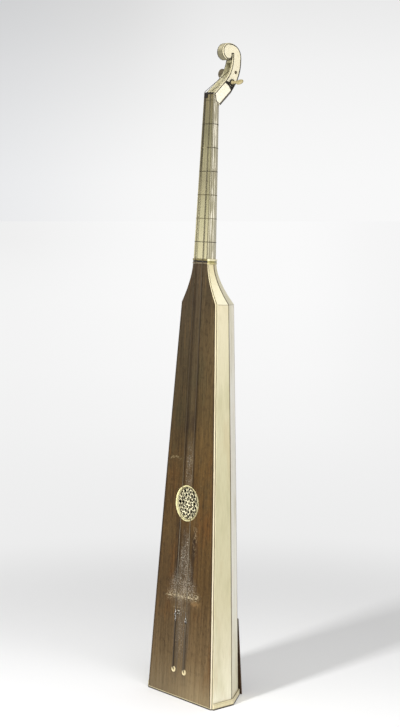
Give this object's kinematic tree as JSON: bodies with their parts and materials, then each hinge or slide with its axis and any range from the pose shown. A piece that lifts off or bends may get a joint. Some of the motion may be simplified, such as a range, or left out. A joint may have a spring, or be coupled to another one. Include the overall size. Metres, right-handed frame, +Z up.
{
  "type": "tromba marina",
  "caption": "Tall tapering sound box with a flat dark board, a pierced rosette, a long ivory-faced neck, a scroll head with pegs and a ratchet, gut strings and a flap low on the back.",
  "frame": {"origin": "centre of the overall box, on the floor under the foot", "axes": "+Z up, the soundboard faces -Y and leans back a few degrees, +X is to the right of someone who faces the board"},
  "size_m": [0.3092, 0.224, 1.901],
  "materials": {
    "board": "dark stained softwood, old varnish",
    "ivory": null,
    "facing": "satin yellowed ivory veneer",
    "inner_wood": "bare softwood",
    "flap_wood": "dark walnut",
    "ebony": "polished ebony",
    "peg_wood": "worn dark wood",
    "iron": "blackened iron",
    "gut": "gut string"
  },
  "bodies": {
    "instrument": {"back_board": "ivory", "bar_lower": "inner_wood", "bar_upper": "inner_wood", "base_band": "ivory", "base_sole": "ebony", "bottom_frame": "inner_wood", "cheek_border_left": "ebony", "cheek_border_right": "ebony", "cheek_left": "ivory", "cheek_line_left": "ebony", "cheek_line_right": "ebony", "cheek_right": "ivory", "collar_band": "ebony", "collar_lower": "ivory", "collar_upper": "ivory", "diagonal_rib_left": "ivory", "diagonal_rib_right": "ivory", "edging_left": "ivory", "edging_right": "ivory", "eyelet_left": "ivory", "eyelet_right": "ivory", "foot_strip": "ivory", "hinge_leaf_fixed": "iron", "hinge_pin": "iron", "iron_plate": "iron", "lining_left": "inner_wood", "lining_right": "inner_wood", "neck_block": "inner_wood", "neck_core": "inner_wood", "neck_front": "facing", "neck_side_left": "facing", "neck_side_right": "facing", "nut": "ebony", "pegbox": "facing", "position_mark_1": "ebony", "position_mark_2": "ebony", "position_mark_3": "ebony", "position_mark_4": "ebony", "position_mark_5": "ebony", "position_mark_6": "ebony", "rosette_ring": "ivory", "rosette_tracery": "ivory", "shoulder_back": "ivory", "shoulder_diagonal_left": "ivory", "shoulder_diagonal_right": "ivory", "shoulder_side_left": "ivory", "shoulder_side_right": "ivory", "side_rib_left": "ivory", "side_rib_right": "ivory", "soundboard": "board", "string_left": "gut", "string_right": "gut"},
    "upper_peg": {"peg_upper": "peg_wood", "winding_left": "gut"},
    "lower_peg": {"peg_lower": "facing", "ratchet_wheel": "iron", "winding_right": "gut"},
    "ratchet_pawl": {"pawl": "iron"},
    "flap": {"back_flap": "flap_wood", "hinge_leaf_moving": "iron"}
  },
  "joints": [
    {"name": "upper_peg_turn", "type": "hinge", "parent": "instrument", "child": "upper_peg", "pos_m": [0, 0.08708, 1.81726], "axis": [1, 0, 0], "continuous": true},
    {"name": "lower_peg_turn", "type": "hinge", "parent": "instrument", "child": "lower_peg", "pos_m": [0, 0.06935, 1.78792], "axis": [1, 0, 0], "continuous": true},
    {"name": "pawl_swing", "type": "hinge", "parent": "instrument", "child": "ratchet_pawl", "pos_m": [0.02045, 0.0543, 1.7877], "axis": [1, 0, 0], "range_deg": [-25, 0]},
    {"name": "flap_swing", "type": "hinge", "parent": "instrument", "child": "flap", "pos_m": [0, 0.05277, 0.22992], "axis": [1, 0, 0], "range_deg": [-1.6, 110]}
  ]
}
